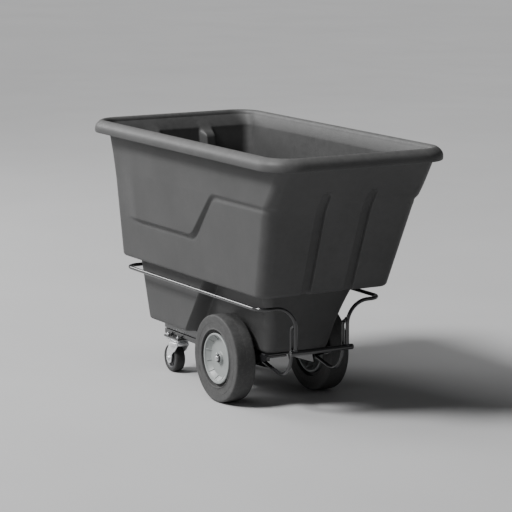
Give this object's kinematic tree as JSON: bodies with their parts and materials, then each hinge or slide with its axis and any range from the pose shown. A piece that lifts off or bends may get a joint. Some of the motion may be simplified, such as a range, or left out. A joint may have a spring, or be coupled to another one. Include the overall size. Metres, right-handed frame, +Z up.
{
  "type": "tilt truck",
  "caption": "Wheeled moulded hopper cart with a sloping pouring nose, rolled rim, welded rod guard, two large fixed wheels and two rear swivel casters.",
  "frame": {"origin": "floor level, under the middle of the rim", "axes": "+Z up; -Y is the way the pouring nose points, +Y the pushing end; +X along the main axle"},
  "size_m": [0.692, 1.364, 0.9144],
  "materials": {
    "hopper_plastic": "dark grey rotationally moulded polyethylene with a fine orange-peel skin",
    "black_paint": "semi-gloss black enamel over welded steel",
    "zinc": "bright zinc plate, slightly hazed",
    "fork_zinc": "pressed steel, zinc plated",
    "axle_steel": "plain turned steel with a film of grease",
    "ball_steel": "polished bearing balls",
    "tyre_rubber": "solid dark grey rubber, faint mould marks",
    "wheel_plastic": "light cool grey moulded wheel centre, satin",
    "caster_plastic": "black moulded wheel core",
    "caster_rubber": "dark rubber tread"
  },
  "bodies": {
    "chassis": {"hopper": "hopper_plastic", "hopper_bolts": "zinc", "hopper_washers": "zinc", "hopper_nuts": "zinc", "guard_rail": "black_paint", "rail_tabs": "black_paint", "rail_tab_bolts": "zinc", "skid_loop_left": "black_paint", "skid_loop_right": "black_paint", "crossbar": "black_paint", "base_plate": "black_paint", "side_rail_left": "black_paint", "side_rail_right": "black_paint", "axle_bracket_left": "black_paint", "axle_bracket_right": "black_paint", "caster_crossmember": "black_paint", "axle": "axle_steel", "axle_spacers": "zinc", "axle_washers": "axle_steel", "cotter_pins": "zinc", "caster_plate_left": "zinc", "caster_kingpin_left": "zinc", "caster_bolts_left": "zinc", "caster_nuts_left": "zinc", "caster_plate_right": "zinc", "caster_kingpin_right": "zinc", "caster_bolts_right": "zinc", "caster_nuts_right": "zinc"},
    "wheel_left": {"tyre_left": "tyre_rubber", "wheel_centre_left": "wheel_plastic", "wheel_bearings_left": "axle_steel"},
    "caster_left": {"caster_fork_left": "fork_zinc", "caster_balls_left": "ball_steel", "caster_axle_left": "zinc", "caster_axle_nut_left": "zinc", "caster_bush_left": "axle_steel"},
    "caster_wheel_left": {"caster_core_left": "caster_plastic", "caster_tread_left": "caster_rubber"},
    "wheel_right": {"tyre_right": "tyre_rubber", "wheel_centre_right": "wheel_plastic", "wheel_bearings_right": "axle_steel"},
    "caster_right": {"caster_fork_right": "fork_zinc", "caster_balls_right": "ball_steel", "caster_axle_right": "zinc", "caster_axle_nut_right": "zinc", "caster_bush_right": "axle_steel"},
    "caster_wheel_right": {"caster_core_right": "caster_plastic", "caster_tread_right": "caster_rubber"}
  },
  "joints": [
    {"name": "wheel_left_spin", "type": "hinge", "parent": "chassis", "child": "wheel_left", "pos_m": [-0.186, -0.071, 0.1524], "axis": [1, 0, 0], "continuous": true},
    {"name": "caster_left_swivel", "type": "hinge", "parent": "chassis", "child": "caster_left", "pos_m": [-0.115, 0.399, 0.1], "axis": [0, 0, 1], "continuous": true},
    {"name": "caster_left_roll", "type": "hinge", "parent": "caster_left", "child": "caster_wheel_left", "pos_m": [-0.115, 0.43, 0.0508], "axis": [1, 0, 0], "continuous": true},
    {"name": "wheel_right_spin", "type": "hinge", "parent": "chassis", "child": "wheel_right", "pos_m": [0.186, -0.071, 0.1524], "axis": [1, 0, 0], "continuous": true},
    {"name": "caster_right_swivel", "type": "hinge", "parent": "chassis", "child": "caster_right", "pos_m": [0.115, 0.399, 0.1], "axis": [0, 0, 1], "continuous": true},
    {"name": "caster_right_roll", "type": "hinge", "parent": "caster_right", "child": "caster_wheel_right", "pos_m": [0.115, 0.43, 0.0508], "axis": [1, 0, 0], "continuous": true}
  ]
}
